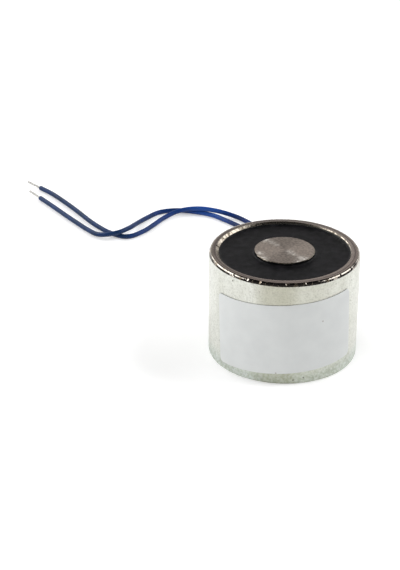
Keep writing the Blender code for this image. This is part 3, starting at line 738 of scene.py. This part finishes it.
def nickel_plate():
    """Dull nickel over a turned wall: sandy speckle, small pits, a warm darker front that is partly worn
    stain and partly painted reflection, and a green-grey foot that is partly painted shade.
    """
    pale, warm, foot = (0.80, 0.81, 0.755), (0.40, 0.39, 0.295), (0.88, 0.93, 0.955)
    grit, stain, pit = (0.24, 0.24, 0.19), (0.74, 0.76, 0.68), (0.08, 0.07, 0.05)
    foot_from, foot_full = 4.0 * MM, 1.2 * MM
    material, shader, place = new_material("nickel_plate", 0.4, metallic=1.0)
    streaks = grain_mask(scaled(place, (1.0, 1.0, 0.35)), size=4 * MM, low=0.4, high=0.7)
    colour = mix_colour(between(streaks, 0.0, 0.22), pale, warm)
    across = scaled(place, FLAT)
    # Bands of warm stain that also paint a darker reflection down the front
    for angle, start, full, share in STAIN_AND_REFLECTION_BANDS:
        away = vector_node("DISTANCE", across, on_wall(angle, 0))
        worn = map_range(away, start * MM, full * MM, 0.0, share)
        colour = mix_colour(worn, colour, warm)
    height = axis_value(place, "Z")
    low_down = map_range(height, foot_from, foot_full)
    # The tint darkens the wall towards the bottom: a green-grey tone, and partly painted shade
    colour = tinted(low_down, colour, foot)
    stains = grain_mask(place, size=0.55 * MM, low=0.42, high=0.62)
    colour = tinted(math_node("MULTIPLY", stains, low_down), colour, stain)
    sand = grain_mask(place, size=1.0 * MM, low=0.35, high=0.7)
    colour = mix_colour(between(sand, 0.0, 0.12), colour, grit)
    speckle = grain_mask(place, size=0.3 * MM, low=0.45, high=0.72)
    colour = mix_colour(between(speckle, 0.0, 0.3), colour, grit)
    pits = speck_mask(place, spacing=1.6 * MM, radius=0.16 * MM, share=0.25)
    pits = math_node("MAXIMUM", pits, wall_spots(place, WORST_PITS, 0.25 * MM))
    connect(shader, {
        "Base Color": mix_colour(between(pits, 0.0, 0.8), colour, pit),
        "Roughness": between(speckle, 0.36, 0.52),
        "Normal": bump(speckle, strength=0.3, depth=0.03 * MM),
    })
    return material


def ground_rim():
    """Ground bare steel, brown-grey and mottled: paler inside a dull ring, and darker towards the back
    and left with painted shade.
    """
    steel, pale = (0.57, 0.47, 0.42), (0.78, 0.69, 0.63)
    dark, back_shade_tint = (0.30, 0.245, 0.225), (0.64, 0.66, 0.66)
    ring_radius, ring_reach, ring_full, pale_step = 13.95 * MM, 0.22 * MM, 0.08 * MM, 0.15 * MM
    # Towards the back and left the rim is darkened with painted shade
    towards_back, darker_from, darker_full = (-0.5, 0.85, 0.0), -14 * MM, 14 * MM
    material, shader, place = new_material("ground_rim", 0.24, metallic=1.0)
    mottle = grain_mask(place, size=0.6 * MM, low=0.35, high=0.75)
    from_axis = vector_node("LENGTH", scaled(place, FLAT))
    from_ring = math_node("ABSOLUTE", math_node("SUBTRACT", from_axis, ring_radius))
    ring = map_range(from_ring, ring_reach, ring_full, 0.0, 0.8)
    shade = math_node("ADD", between(mottle, 0.0, 0.4), ring)
    inside = map_range(from_axis, ring_radius, ring_radius - pale_step, 0.0, 0.5)
    far_back = vector_node("DOT_PRODUCT", place, towards_back)
    colour = mix_colour(shade, mix_colour(inside, steel, pale), dark)
    connect(shader, {
        # Painted shade towards the back and left
        "Base Color": tinted(map_range(far_back, darker_from, darker_full), colour, back_shade_tint),
        "Roughness": between(mottle, 0.2, 0.32),
        "Normal": bump(mottle, strength=0.1, depth=0.02 * MM),
    })
    return material


def rubbed_steel(name, bright, dark, smooth, rough, darker_from, dark_reflections=()):
    """Steel polished bright, with duller brown patches: smooth where it is bright, rough where it is
    dull, and black in the listed stretches, which are a painted dark reflection."""
    reflection_black, soft_edge = (0.05, 0.045, 0.04), 0.14
    material, shader, place = new_material(name, smooth, metallic=1.0)
    dull = grain_mask(place, size=0.8 * MM, low=darker_from, high=darker_from + soft_edge)
    uneven = grain_mask(place, size=0.5 * MM, low=0.3, high=0.7)
    colour = mix_colour(dull, bright, dark)
    # The listed stretches are painted black as a dark reflection
    for angle, level, reach in dark_reflections:
        tall = scaled(place, (1.0, 1.0, REFLECTION_NARROWER))
        black = wall_spots(tall, [(angle, level * REFLECTION_NARROWER)], reach * MM)
        colour = tinted(black, colour, reflection_black)
    connect(shader, {
        "Base Color": colour,
        "Roughness": between(dull, smooth, rough),
        "Normal": bump(uneven, strength=0.2, depth=0.05 * MM),
    })
    return material


def paint_faces(piece, material, test):
    """Gives another finish to the faces that pass the test."""
    piece.data.materials.append(material)
    for face in piece.data.polygons:
        if test(face):
            face.material_index = len(piece.data.materials) - 1


def rim_face(face):
    return face.center.z > CUP_HEIGHT - NEAR and face.normal.z > PARALLEL


def rest_of_rim(face):
    return face.material_index == 0 and face.center.z > CUP_HEIGHT - RIM_ROUNDING


def outer_edge(face):
    return rest_of_rim(face) and face.center.xy.length > (CUP_RADIUS + BORE_RADIUS) / 2


edge_finish = rubbed_steel(
    "polished_edge", bright=(0.50, 0.46, 0.41), dark=(0.27, 0.22, 0.16),
    smooth=0.08, rough=0.4, darker_from=0.52, dark_reflections=DARK_REFLECTION_STRETCHES,
)
chamfer_finish = rubbed_steel(
    "turned_chamfer", bright=(0.50, 0.445, 0.37), dark=(0.17, 0.145, 0.11),
    smooth=0.24, rough=0.4, darker_from=0.45,
)
finish_piece(cup, nickel_plate(), "shell", smooth=CUP_SMOOTH)
paint_faces(cup, ground_rim(), rim_face)
paint_faces(cup, edge_finish, outer_edge)
paint_faces(cup, chamfer_finish, rest_of_rim)

# Pole core
# The core is turned from bare steel, ground flush with the rim, and shouldered: its spigot goes
# through the base of the cup and is swaged there. An M4 hole is tapped into it from the back.
core_low, core_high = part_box("pole_core")
CORE_RADIUS = core_high.x
CORE_SHOULDER = 3.02 * MM
CORE_CHAMFER = 0.09 * MM
CORE_DRIFT = (-0.05 * MM, 0.04 * MM, 0.0)
SPIGOT_RADIUS = 4.0 * MM
SPIGOT_RECESS = core_low.z
SWAGE_START = 0.575 * MM
TAP_RADIUS = 1.65 * MM
THREAD_RADIUS = 1.98 * MM
THREAD_PITCH = 0.7 * MM
THREAD_TURNS = 8
TAPPED_DEPTH = 7.0 * MM
DRILL_HALF_ANGLE = radians(59)
DRILL_POINT = TAP_RADIUS / tan(DRILL_HALF_ANGLE)
CORE_SEGMENTS = 256

core = new_cylinder("turned_core", CORE_SEGMENTS, CORE_RADIUS, CORE_SHOULDER, CUP_HEIGHT)
bevel_edges(core, ring_at(CORE_RADIUS, CUP_HEIGHT), CORE_CHAMFER)
select_parts(core, "EDGE", ring_at(CORE_RADIUS - CORE_CHAMFER, CUP_HEIGHT))
bpy.ops.transform.translate(value=CORE_DRIFT)

# Below the shoulder comes the spigot, flared at its end
select_parts(core, "FACE", flat_at(CORE_SHOULDER, 2 * CORE_RADIUS))
bpy.ops.mesh.inset(thickness=CORE_RADIUS - SPIGOT_RADIUS)
extrude(SWAGE_START - CORE_SHOULDER)
extrude(SPIGOT_RECESS - SWAGE_START)
flare = 1 + (SWAGE_START - SPIGOT_RECESS) / SPIGOT_RADIUS
widen(flare)

# The hole has a countersink, ridges for its thread, and the cone that the drill left
bpy.ops.mesh.inset(thickness=SPIGOT_RADIUS * flare - THREAD_RADIUS)
bpy.ops.mesh.inset(thickness=THREAD_RADIUS - TAP_RADIUS, depth=TAP_RADIUS - THREAD_RADIUS)
for turn in range(THREAD_TURNS):
    for wider in (THREAD_RADIUS / TAP_RADIUS, TAP_RADIUS / THREAD_RADIUS):
        extrude(THREAD_PITCH / 2)
        widen(wider)
thread_end = SPIGOT_RECESS + THREAD_RADIUS - TAP_RADIUS + THREAD_TURNS * THREAD_PITCH
extrude(TAPPED_DEPTH - thread_end)
extrude(DRILL_POINT)
bpy.ops.mesh.merge(type="CENTER")

# Painted highlights on the core, in patches that are also rougher and less metallic: across and back
# from the axis in mm, and their radius
CORE_PAINTED_HIGHLIGHTS = [
    (-3.9, 4.3, 1.5), (-2.5, 3.2, 1.1), (-1.6, 2.2, 0.8), (1.0, -0.9, 1.3), (1.9, -1.9, 0.9),
    (3.2, -3.4, 1.5), (4.1, -4.1, 1.6), (2.6, -5.1, 1.3), (-4.9, -1.7, 1.2), (-4.0, -3.9, 1.3),
    (3.3, -4.7, 1.1), (4.6, -3.9, 1.0), (2.7, -5.4, 0.8), (-3.9, 4.6, 1.0), (-4.6, -3.9, 0.9),
]


def turned_face():
    """Bare steel with the fine rings of a facing cut, mottled, and with painted highlights in patches."""
    steel, dark, bright = (0.67, 0.575, 0.50), (0.34, 0.285, 0.25), (1.0, 0.95, 0.88)
    ring_pitch = 0.16 * MM
    material, shader, place = new_material("turned_face", 0.34, metallic=1.0)
    shader.inputs["Anisotropic"].default_value = 0.5
    shader.inputs["Anisotropic Rotation"].default_value = 0.25
    flat_place = scaled(place, FLAT)
    from_axis = vector_node("LENGTH", flat_place)
    rings = math_node("SINE", math_node("MULTIPLY", from_axis, 2 * pi / ring_pitch))
    mottle = grain_mask(place, size=0.48 * MM, low=0.38, high=0.64)
    ring_shade = map_range(rings, -1.0, 1.0, 0.0, 0.35)
    shade = math_node("ADD", ring_shade, between(mottle, 0.0, 0.6))
    breaks = between(mottle, 1.0, 0.3)
    colour = mix_colour(shade, steel, dark)
    highlight_share = 0.0
    # Each patch paints a highlight: a paler colour, rougher and less metallic
    for across, back, radius in CORE_PAINTED_HIGHLIGHTS:
        away = vector_node("DISTANCE", flat_place, Vector((across, back, 0.0)) * MM)
        painted_highlight = math_node("MULTIPLY", map_range(away, radius * MM, 0.0), breaks)
        colour = mix_colour(painted_highlight, colour, bright)
        highlight_share = math_node("MAXIMUM", highlight_share, painted_highlight)
    highlight_rough, mottle_rough = between(highlight_share, 0.0, 0.22), between(mottle, 0.3, 0.42)
    connect(shader, {
        "Base Color": colour,
        "Roughness": math_node("ADD", mottle_rough, highlight_rough),
        "Metallic": map_range(highlight_share, 0.45, 1.0, 1.0, 0.5),
        "Normal": bump(rings, strength=0.3, depth=0.01 * MM),
    })
    return material


finish_piece(core, turned_face(), "pole_core")
paint_faces(core, chamfer_finish, lambda face: (
    CUP_HEIGHT - CORE_CHAMFER < face.center.z < CUP_HEIGHT - NEAR
))

# Casting resin
# Black epoxy fills the mouth of the pot, 0.7 mm below the rim, and runs down round the winding. It
# has crept up the wall and wetted the side of the core, and its top is satin and not quite level. The
# core's upright faces above the resin's bottom get its black finish, which above the wetted part is
# painted shade.
RESIN_LEVEL = 21.3 * MM
RESIN_FOOT = 18.97 * MM
RESIN_SKIRT_RADIUS = 11.29 * MM
STEP_RADIUS = 12.30 * MM
STEP_LEVEL = 17.80 * MM
RESIN_RINGS = 14
RESIN_SEGMENTS = 256
SWELL_SIZE = 5.0 * MM
SWELL_HEIGHT = 0.12 * MM
resin_crest = resin_high.z
resin_outer = resin_high.x
resin_inner = CORE_RADIUS + FIT

# A face is upright when the share of its direction along the axis is under this
UPRIGHT = 0.1

# The creep up the wall and the core, from its crest down: width and drop of each step
CREEP = [(0.18 * MM, 0.11 * MM), (0.18 * MM, 0.067 * MM), (0.19 * MM, 0.023 * MM)]
creep_width = sum(width for width, drop in CREEP)

# The top goes inwards in rings, from the crest at the wall to the crest at the core
resin = new_cylinder("cast_resin", RESIN_SEGMENTS, resin_outer, resin_low.z, resin_crest)
select_parts(resin, "FACE", flat_at(resin_crest, 2 * resin_outer))
for width, drop in CREEP:
    bpy.ops.mesh.inset(thickness=width, depth=-drop)
ring_width = (resin_outer - resin_inner - 2 * creep_width) / RESIN_RINGS
for ring in range(RESIN_RINGS):
    bpy.ops.mesh.inset(thickness=ring_width)
for width, drop in reversed(CREEP):
    bpy.ops.mesh.inset(thickness=width, depth=drop)

# Underneath, a stepped skirt hangs down along the wall, and the core's hole goes through to the top
select_parts(resin, "FACE", flat_at(resin_low.z, 2 * resin_outer))
bpy.ops.mesh.inset(thickness=resin_outer - RESIN_SKIRT_RADIUS)
extrude(STEP_LEVEL - resin_low.z)
extrude()
widen(STEP_RADIUS / RESIN_SKIRT_RADIUS)
extrude(RESIN_FOOT - STEP_LEVEL)
bpy.ops.mesh.inset(thickness=STEP_RADIUS - resin_inner)
open_hole(resin, RESIN_SEGMENTS)
bpy.ops.object.mode_set(mode="OBJECT")


def in_resin_top(point):
    inside = resin_inner + NEAR < point.xy.length < resin_outer - NEAR
    return inside and point.z > RESIN_LEVEL - NEAR


make_uneven(resin, "resin_swell", in_resin_top, SWELL_SIZE, {
    "strength": SWELL_HEIGHT, "mid_level": 0.5, "direction": "Z",
})


def black_resin():
    """Filled black epoxy, faintly mottled, with a little dust on it."""
    black, grey, dust = (0.0032, 0.0034, 0.0038), (0.0116, 0.0108, 0.0128), (0.07, 0.07, 0.07)
    material, shader, place = new_material("black_resin", 0.42, specular=0.12)
    mottle = grain_mask(place, size=1.2 * MM, low=0.35, high=0.7)
    fine = grain_mask(place, size=0.3 * MM, low=0.3, high=0.7)
    dusty = speck_mask(place, spacing=1.5 * MM, radius=0.05 * MM, share=0.25)
    colour = mix_colour(mottle, black, grey)
    connect(shader, {
        "Base Color": mix_colour(dusty, colour, dust),
        "Roughness": between(fine, 0.36, 0.52),
        "Normal": bump(fine, strength=0.25, depth=0.04 * MM),
    })
    return material


resin_finish = black_resin()
finish_piece(resin, resin_finish, "casting_resin")
# The core's side takes the resin's black finish: resin that wetted it, and above that painted shade
paint_faces(core, resin_finish, lambda face: (
    face.center.z > resin_low.z and abs(face.normal.z) < UPRIGHT
))

# Label
# A rounded rectangle of white film, 30 by 15 mm and 0.1 mm thick, is stuck round the front of the
# cup by hand, a little askew. It is cut flat with round corners, and bent to the cup. It stays bare.
LABEL_GAP = 0.02 * MM
LABEL_THICKNESS = 0.1 * MM
LABEL_WIDTH = 30.0 * MM
LABEL_HEIGHT = 15.0 * MM
LABEL_LEVEL = 9.93 * MM
LABEL_TURN = radians(2)
LABEL_TILT = radians(3.3)
LABEL_CORNER = 1.0 * MM
CORNER_SEGMENTS = 8
LABEL_COLUMNS = 122
label_radius = CUP_RADIUS + LABEL_GAP

bpy.ops.object.select_all(action="DESELECT")
bpy.ops.mesh.primitive_plane_add(size=1.0, rotation=(pi / 2, 0, 0))
label = new_piece("bare_label")
bpy.ops.mesh.select_mode(type="VERT")
bpy.ops.mesh.select_all(action="SELECT")
bpy.ops.transform.resize(value=(LABEL_WIDTH, 1, LABEL_HEIGHT))
bpy.ops.mesh.bevel(offset=LABEL_CORNER, segments=CORNER_SEGMENTS, affect="VERTICES")
bpy.ops.mesh.select_all(action="SELECT")
bpy.ops.transform.rotate(value=LABEL_TILT, orient_axis="Y", center_override=(0, 0, 0))
bpy.ops.object.mode_set(mode="OBJECT")
tilted_width = label.dimensions.x
bpy.ops.object.mode_set(mode="EDIT")
for column in range(1, LABEL_COLUMNS):
    across = tilted_width * (column / LABEL_COLUMNS - 0.5)
    bpy.ops.mesh.select_all(action="SELECT")
    bpy.ops.mesh.bisect(plane_co=(across, 0, 0), plane_no=(1, 0, 0))
apply_modifier(label, "Film", "SOLIDIFY", {"thickness": LABEL_THICKNESS, "offset": 1.0})
apply_modifier(label, "Wrap", "SIMPLE_DEFORM", {
    "deform_method": "BEND", "deform_axis": "Z", "angle": tilted_width / label_radius,
})
label.location = (0, -label_radius, LABEL_LEVEL)
bpy.ops.object.transform_apply(location=True)
bpy.ops.object.mode_set(mode="EDIT")
bpy.ops.mesh.select_all(action="SELECT")
bpy.ops.transform.rotate(value=-LABEL_TURN, orient_axis="Z", center_override=(0, 0, 0))

# Flecks in the film: angle from the front, and level in mm
FLECKS = [(31, 13.2), (-28, 1.75), (-4, 2.5)]


def label_film():
    """White paper-backed film, cool and faintly mottled, with a few flecks in it."""
    white, shade, fleck = (0.80, 0.82, 0.812), (0.765, 0.785, 0.78), (0.30, 0.25, 0.20)
    material, shader, place = new_material("label_film", 0.5, specular=0.3)
    mottle = grain_mask(place, size=3.0 * MM, low=0.35, high=0.7)
    fine = grain_mask(place, size=0.35 * MM, low=0.3, high=0.7)
    flecks = wall_spots(place, FLECKS, 0.24 * MM)
    colour = mix_colour(mottle, white, shade)
    connect(shader, {
        "Base Color": mix_colour(flecks, colour, fleck),
        "Roughness": between(fine, 0.45, 0.6),
        "Normal": bump(fine, strength=0.1, depth=0.02 * MM),
    })
    return material


def paper_edge_shade():
    """The knife-cut edge of the film, painted grey as the thin shade along it, and darker in cloudy
    patches.
    """
    pale, grey = (0.50, 0.50, 0.48), (0.20, 0.20, 0.19)
    material, shader, place = new_material("paper_edge_shade", 0.8, specular=0.1)
    edge_patches = grain_mask(place, size=0.8 * MM, low=0.35, high=0.65)
    connect(shader, {"Base Color": mix_colour(edge_patches, pale, grey)})
    return material


finish_piece(label, label_film(), "label")
# The film's edges are painted grey as shade
paint_faces(label, paper_edge_shade(), lambda face: (
    abs(face.normal.xy.dot(face.center.xy.normalized())) < PARALLEL
))

# Exit sleeve
# A short black insulating sleeve sits in the hole in the wall and stands a little proud of it. Both
# leads pass through it side by side.
sleeve_low, sleeve_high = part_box("exit_sleeve")
SLEEVE_RADIUS = (sleeve_high.x - sleeve_low.x) / 2
SLEEVE_WALL = 0.32 * MM
SLEEVE_EDGE = 0.1 * MM
SHARP = radians(60)


def sharp_edge(edge):
    return len(edge.link_faces) == 2 and edge.calc_face_angle() > SHARP


bpy.ops.object.select_all(action="DESELECT")
bpy.ops.mesh.primitive_cylinder_add(
    vertices=EXIT_SEGMENTS, radius=SLEEVE_RADIUS, depth=sleeve_high.y - sleeve_low.y,
    location=(sleeve_low + sleeve_high) / 2, rotation=(pi / 2, 0, 0),
)
sleeve = new_piece("black_exit_sleeve")
select_parts(sleeve, "FACE", end_face)
bpy.ops.mesh.inset(thickness=SLEEVE_WALL)
bpy.ops.mesh.bridge_edge_loops()
bevel_edges(sleeve, sharp_edge, SLEEVE_EDGE, segments=3)


def black_sleeve():
    """Extruded black sleeving with a soft sheen and faint lines along it."""
    black, grey = (0.012, 0.012, 0.013), (0.030, 0.030, 0.032)
    material, shader, place = new_material("black_sleeve", 0.4, specular=0.35)
    lines = grain_mask(scaled(place, (1.0, 0.15, 1.0)), size=0.4 * MM, low=0.4, high=0.7)
    connect(shader, {
        "Base Color": mix_colour(lines, black, grey),
        "Roughness": between(lines, 0.36, 0.52),
    })
    return material


sleeve_finish = black_sleeve()
finish_piece(sleeve, sleeve_finish, "exit_sleeve")

# Inside the pot
# The bobbin, its winding and tape, the pressboard rings, the soldered splices and the inner ends of
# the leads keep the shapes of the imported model. Each gets the finish of its own stuff.


def natural_nylon():
    """Moulded nylon, cream and slightly cloudy."""
    cream, deep = (0.75, 0.71, 0.60), (0.64, 0.59, 0.47)
    material, shader, place = new_material("natural_nylon", 0.45, specular=0.4)
    cloudy = grain_mask(place, size=4 * MM, low=0.35, high=0.7)
    connect(shader, {
        "Base Color": mix_colour(cloudy, cream, deep),
        "Roughness": between(cloudy, 0.4, 0.55),
    })
    return material


def enamelled_copper():
    """Wound wire in clear brown enamel: each turn is a ridge, with painted shade in the groove beside it.
    """
    copper, groove_shade = (0.62, 0.22, 0.075), (0.16, 0.045, 0.015)
    wire_pitch = 0.3 * MM
    material, shader, place = new_material("enamelled_copper", 0.3, metallic=1.0)
    height = axis_value(place, "Z")
    waves = math_node("SINE", math_node("MULTIPLY", height, 2 * pi / wire_pitch))
    ridges = map_range(waves, -1.0, 0.2)
    # Painted shade in the grooves between the turns
    connect(shader, {
        "Base Color": mix_colour(ridges, groove_shade, copper),
        "Normal": bump(ridges, strength=0.8, depth=0.1 * MM),
    })
    return material


def amber_tape():
    """Polyester tape, amber and glossy, with the lay of the wire showing through."""
    amber, dark = (0.72, 0.42, 0.07), (0.50, 0.25, 0.04)
    material, shader, place = new_material("amber_tape", 0.25)
    show = grain_mask(scaled(place, (0.2, 0.2, 1.0)), size=0.5 * MM, low=0.35, high=0.65)
    connect(shader, {
        "Base Color": mix_colour(show, amber, dark),
        "Roughness": between(show, 0.2, 0.35),
    })
    return material


def pressboard():
    """Brown pressed fibre board."""
    tan_brown, fibre = (0.45, 0.31, 0.17), (0.30, 0.19, 0.10)
    material, shader, place = new_material("pressboard", 0.85, specular=0.15)
    fibres = grain_mask(place, size=0.35 * MM, low=0.4, high=0.65)
    connect(shader, {
        "Base Color": mix_colour(fibres, tan_brown, fibre),
        "Normal": bump(fibres, strength=0.3, depth=0.05 * MM),
    })
    return material


INNER_FINISHES = (
    (natural_nylon(), ("bobbin",)),
    (enamelled_copper(), ("winding", "winding_start_tail", "winding_finish_tail")),
    (amber_tape(), ("winding_tape",)),
    (pressboard(), ("base_insulator", "top_insulator")),
    (sleeve_finish, ("splice_sleeve_a", "splice_sleeve_b")),
    (tin_finish, ("solder_joint_a", "solder_joint_b")),
    (lead_finish, ("lead_a_inner", "lead_b_inner")),
)
for finish, names in INNER_FINISHES:
    for name in names:
        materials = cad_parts[name].data.materials
        for index in range(len(materials)):
            materials[index] = finish

# Floor
# A plain white sheet carries the magnet. It is white to the eye and in reflections, also where the
# lamps no longer reach it, and keeps the magnet's own soft shadow.
FLOOR_SIZE = 12.0
FLOOR_WHITE = (0.86, 0.86, 0.86, 1.0)
GLOW_WHITE = (1.0, 1.0, 1.0, 1.0)
FLOOR_GLOW = 0.3
GLOW_RISES_FROM = 0.35
GLOW_RISES_TO = 1.0

bpy.ops.object.select_all(action="DESELECT")
bpy.ops.mesh.primitive_plane_add(size=FLOOR_SIZE, location=(0, 0, cad_box[0].z))
floor = bpy.context.object
floor.name = "floor"
floor_finish, shader, place = new_material("white_floor", 0.9, specular=0.0)
rays = node(shader.id_data, "LightPath").outputs
seen = math_node("MAXIMUM", rays["Is Camera Ray"], rays["Is Glossy Ray"])
seen = math_node("MAXIMUM", seen, rays["Is Transmission Ray"])
away = vector_node("LENGTH", place)
glow = map_range(away, GLOW_RISES_FROM, GLOW_RISES_TO, FLOOR_GLOW, 1.0)
connect(shader, {
    "Base Color": FLOOR_WHITE,
    "Emission Color": GLOW_WHITE,
    "Emission Strength": math_node("MULTIPLY", seen, glow),
})
floor.data.materials.append(floor_finish)

# Light
# The room is pale behind the magnet, low down in front and straight above, and dark elsewhere. Two big
# soft boxes stand left and right. Two more lamps light what is dull, and stay out of reflections.
ROOM_SHADES = [
    (0.00, (0.90, 0.90, 0.90)),
    (0.16, (0.74, 0.74, 0.74)),
    (0.45, (0.40, 0.385, 0.37)),
    (0.77, (0.12, 0.12, 0.12)),
    (0.965, (0.09, 0.09, 0.09)),
    (0.985, (0.50, 0.48, 0.46)),
]
FRONT_SHADE = 0.08
LOW_FRONT_SHADE = 0.5
BEHIND_FROM, BEHIND_FULL = 0.6, 0.9
ABOVE_FROM, ABOVE_FULL = 0.965, 0.985
LOW_FROM, LOW_FULL = 0.36, 0.28
IN_FRONT_FROM, IN_FRONT_FULL = -0.6, -0.85

# Each lamp: where it stands, its width, depth and watts, and if it shows in reflections
LAMPS = {
    "soft_box_left": ((-0.62, 0.235, 0.447), 1.0, 0.46, 4.4, True),
    "soft_box_right": ((0.62, 0.235, 0.447), 1.0, 0.46, 3.6, True),
    "key_lamp_right": ((0.54, 0.08, 0.71), 0.2, 0.2, 1.9, False),
    "soft_box_front": ((-0.26, -0.58, 0.65), 0.7, 0.5, 3.3, False),
}

world = bpy.data.worlds.new("studio_room")
scene.world = world
world.use_nodes = True
tree = world.node_tree
direction = node(tree, "TexCoord").outputs["Generated"]
back, up = axis_value(direction, "Y"), axis_value(direction, "Z")
shades = node(tree, "ValToRGB", {}, {"Fac": up})
stops = shades.color_ramp.elements
for position, colour in ROOM_SHADES[2:]:
    stops.new(position)
for stop, (position, colour) in zip(stops, ROOM_SHADES):
    stop.position = position
    stop.color = (*colour, 1.0)
behind = map_range(back, BEHIND_FROM, BEHIND_FULL, FRONT_SHADE, 1.0)
above = map_range(up, ABOVE_FROM, ABOVE_FULL)
in_front = map_range(back, IN_FRONT_FROM, IN_FRONT_FULL, 0.0, LOW_FRONT_SHADE)
low_front = math_node("MULTIPLY", in_front, map_range(up, LOW_FROM, LOW_FULL))
strength = math_node("MAXIMUM", behind, above)
connect(tree.nodes["Background"], {
    "Color": shades.outputs["Color"],
    "Strength": math_node("MAXIMUM", strength, low_front),
})

middle = Vector((0, 0, CUP_HEIGHT / 2))
for name, (place, width, depth, watts, shows) in LAMPS.items():
    lamp = bpy.data.lights.new(name, "AREA")
    lamp.shape = "RECTANGLE"
    lamp.size = width
    lamp.size_y = depth
    lamp.energy = watts
    box = bpy.data.objects.new(name, lamp)
    scene.collection.objects.link(box)
    box.visible_glossy = shows
    turn = (middle - Vector(place)).to_track_quat("-Z", "Y").to_matrix().to_4x4()
    box.matrix_world = Matrix.Translation(place) @ turn
